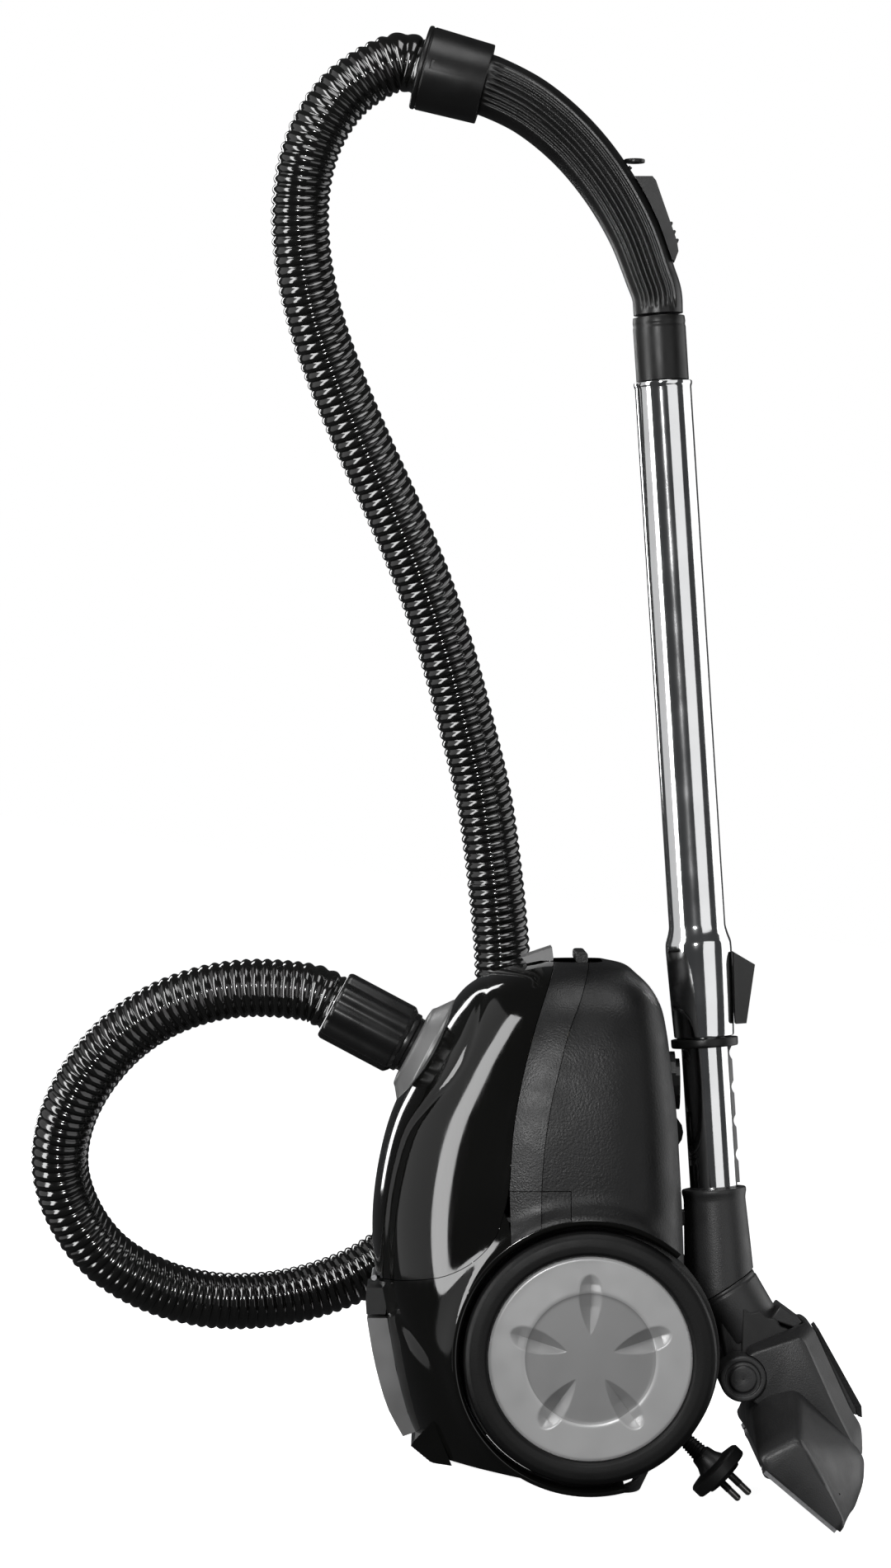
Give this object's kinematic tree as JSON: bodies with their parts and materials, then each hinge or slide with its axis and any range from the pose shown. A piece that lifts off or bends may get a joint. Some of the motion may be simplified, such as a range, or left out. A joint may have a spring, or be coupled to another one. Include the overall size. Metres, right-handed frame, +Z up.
{
  "type": "canister vacuum cleaner",
  "caption": "Bagged canister vacuum cleaner standing on its rear end, with a parked telescopic wand, curved handle, corrugated hose and tilting floor nozzle.",
  "frame": {"origin": "middle of the footprint box on the floor, measured without the hose", "axes": "+Z up, -Y towards the side with the left wheel, +X from the dust cover side towards the wand and nozzle"},
  "size_m": [0.6078, 0.3115, 0.9946],
  "materials": {
    "grained_plastic": "fine grained, matte charcoal",
    "gloss_black": "high gloss black",
    "band_plastic": "fine grained, matte charcoal",
    "silver_plastic": "satin silver paint",
    "machine_steel": "machined",
    "dark_plastic": "satin black",
    "tyre_rubber": "matte black rubber",
    "hub_silver": "satin silver paint",
    "filter_foam": "open cell foam",
    "copper_winding": "enamelled copper windings",
    "bag_paper": "soft fibrous",
    "cord_plastic": "flexible black jacket",
    "board_green": "lacquered board",
    "plug_plastic": "satin black",
    "chrome_tube": "polished",
    "satin_black": "satin black",
    "handle_plastic": "semi-gloss black",
    "connector_plastic": "semi-gloss black",
    "hose_plastic": "gloss black, flexible",
    "nozzle_plastic": "satin dark grey",
    "soft_rubber": "soft matte rubber",
    "sole_metal": "polished by floors",
    "bristle_dark": "dense bristle rows"
  },
  "bodies": {
    "canister": {"lower_housing": "grained_plastic", "rear_housing": "gloss_black", "carry_band": "band_plastic", "rear_trim": "silver_plastic", "rear_foot": "dark_plastic", "caster_well": "dark_plastic", "parking_socket": "dark_plastic", "wheel_arch_left": "gloss_black", "wheel_arch_right": "gloss_black", "stub_axle_left": "machine_steel", "stub_axle_right": "machine_steel", "bulkhead": "dark_plastic", "motor_filter": "filter_foam", "motor_housing": "dark_plastic", "motor_stator": "copper_winding", "exhaust_filter": "filter_foam", "bag_holder": "dark_plastic", "dust_bag": "bag_paper", "reel_axle": "machine_steel", "cord_lead": "cord_plastic", "circuit_board": "board_green", "outlet_grommet": "dark_plastic", "mains_plug": "plug_plastic", "lid_hinge_pin": "machine_steel", "hose_lower": "hose_plastic", "hose_middle": "hose_plastic"},
    "lid": {"dust_cover": "gloss_black", "inlet_ring": "silver_plastic"},
    "latch": {"lid_latch": "silver_plastic"},
    "connector": {"hose_connector": "connector_plastic"},
    "wheel_left": {"tyre_left": "tyre_rubber", "hub_cap_left": "hub_silver"},
    "wheel_right": {"tyre_right": "tyre_rubber", "hub_cap_right": "hub_silver"},
    "caster_swivel": {"caster_fork": "dark_plastic"},
    "caster_roller": {"caster_wheel": "tyre_rubber"},
    "power_key": {"power_button": "dark_plastic"},
    "rewind_key": {"rewind_button": "dark_plastic"},
    "fan": {"motor_rotor": "machine_steel"},
    "cord_reel": {"reel_drum": "dark_plastic", "cord_winding": "cord_plastic"},
    "wand_lower": {"lower_tube": "chrome_tube", "rack_strip": "silver_plastic", "nozzle_neck": "nozzle_plastic"},
    "wand_upper": {"upper_tube": "chrome_tube", "wand_collar": "dark_plastic", "neck_sleeve": "satin_black", "handle": "handle_plastic", "hose_upper": "hose_plastic"},
    "tube_release": {"tube_button": "dark_plastic"},
    "cuff": {"hose_cuff": "satin_black"},
    "regulator": {"regulator_slider": "dark_plastic"},
    "elbow": {"nozzle_elbow": "nozzle_plastic", "nozzle_bellows": "soft_rubber"},
    "nozzle": {"nozzle_body": "nozzle_plastic", "sole_plate": "sole_metal"},
    "brushes": {"brush_frame": "bristle_dark"},
    "pedal": {"nozzle_pedal": "grained_plastic"},
    "roller_left": {"nozzle_roller_left": "tyre_rubber"},
    "roller_right": {"nozzle_roller_right": "tyre_rubber"}
  },
  "joints": [
    {"name": "lid_hinge", "type": "hinge", "parent": "canister", "child": "lid", "pos_m": [-0.12716, 0, 0.11634], "axis": [0, -1, 0], "range_deg": [0, 65], "deforming": ["hose_lower"]},
    {"name": "latch_lift", "type": "hinge", "parent": "lid", "child": "latch", "pos_m": [-0.03734, 0, 0.3597], "axis": [0, 1, 0], "range_deg": [0, 22], "stiffness_Nm_per_rad": 0.05, "springref_deg": -20.05},
    {"name": "connector_swivel", "type": "hinge", "parent": "lid", "child": "connector", "pos_m": [-0.12436, 0, 0.27969], "axis": [-0.9432, 0, 0.3322], "continuous": true},
    {"name": "wheel_left_spin", "type": "hinge", "parent": "canister", "child": "wheel_left", "pos_m": [0.02657, -0.126, 0.09428], "axis": [0, 1, 0], "continuous": true},
    {"name": "wheel_right_spin", "type": "hinge", "parent": "canister", "child": "wheel_right", "pos_m": [0.02657, 0.126, 0.09428], "axis": [0, 1, 0], "continuous": true},
    {"name": "caster_swivel_turn", "type": "hinge", "parent": "canister", "child": "caster_swivel", "pos_m": [0.05072, 0, 0.27897], "axis": [0.9888, 0, 0.1495], "range_deg": [-115, 115]},
    {"name": "caster_wheel_spin", "type": "hinge", "parent": "caster_swivel", "child": "caster_roller", "pos_m": [0.06016, 0, 0.24601], "axis": [0, 1, 0], "continuous": true},
    {"name": "power_press", "type": "slide", "parent": "canister", "child": "power_key", "axis": [0.9888, 0, 0.1495], "range_m": [0, 0.004], "stiffness_N_per_m": 400, "springref_m": -0.004},
    {"name": "rewind_press", "type": "slide", "parent": "canister", "child": "rewind_key", "axis": [0.9888, 0, 0.1495], "range_m": [0, 0.004], "stiffness_N_per_m": 400, "springref_m": -0.004},
    {"name": "fan_spin", "type": "hinge", "parent": "canister", "child": "fan", "pos_m": [0.00709, -0.038, 0.1328], "axis": [-0.1495, 0, 0.9888], "continuous": true},
    {"name": "reel_spin", "type": "hinge", "parent": "canister", "child": "cord_reel", "pos_m": [0.00051, 0.05, 0.08933], "axis": [0, 1, 0], "continuous": true},
    {"name": "wand_unhook", "type": "slide", "parent": "canister", "child": "wand_lower", "axis": [-0.2117, 0, 0.9773], "range_m": [0, 0.024]},
    {"name": "telescope", "type": "slide", "parent": "wand_lower", "child": "wand_upper", "axis": [-0.2117, 0, 0.9773], "range_m": [0, 0.28], "deforming": ["hose_upper"]},
    {"name": "tube_release_slide", "type": "slide", "parent": "wand_upper", "child": "tube_release", "axis": [0.2117, 0, -0.9773], "range_m": [0, 0.006], "stiffness_N_per_m": 300, "springref_m": -0.004},
    {"name": "cuff_swivel", "type": "hinge", "parent": "wand_upper", "child": "cuff", "pos_m": [-0.17558, 0, 0.95948], "axis": [-0.9936, 0, 0.1132], "continuous": true},
    {"name": "regulator_slide", "type": "hinge", "parent": "wand_upper", "child": "regulator", "pos_m": [-0.22411, 0, 0.76271], "axis": [0, 1, 0], "range_deg": [0, 3]},
    {"name": "elbow_swivel", "type": "hinge", "parent": "wand_lower", "child": "elbow", "pos_m": [0.11766, 0, 0.14396], "axis": [0.6508, 0, -0.7593], "range_deg": [-6, 6]},
    {"name": "nozzle_tilt", "type": "hinge", "parent": "elbow", "child": "nozzle", "pos_m": [0.13757, 0, 0.0872], "axis": [0, -1, 0], "range_deg": [0, 18]},
    {"name": "pedal_press", "type": "hinge", "parent": "nozzle", "child": "pedal", "pos_m": [0.18613, 0, 0.12589], "axis": [0, 1, 0], "range_deg": [0, 5], "stiffness_Nm_per_rad": 0.4, "springref_deg": -11.46},
    {"name": "brush_drop", "type": "slide", "parent": "nozzle", "child": "brushes", "axis": [-0.521, 0, -0.8536], "range_m": [0, 0.0063]},
    {"name": "roller_left_spin", "type": "hinge", "parent": "nozzle", "child": "roller_left", "pos_m": [0.16128, -0.1, 0.03273], "axis": [0, 1, 0], "continuous": true},
    {"name": "roller_right_spin", "type": "hinge", "parent": "nozzle", "child": "roller_right", "pos_m": [0.16128, 0.1, 0.03273], "axis": [0, 1, 0], "continuous": true}
  ],
  "couplings": [
    {"joint": "brush_drop", "follows": "pedal_press", "m_per_rad": 0.06875}
  ]
}
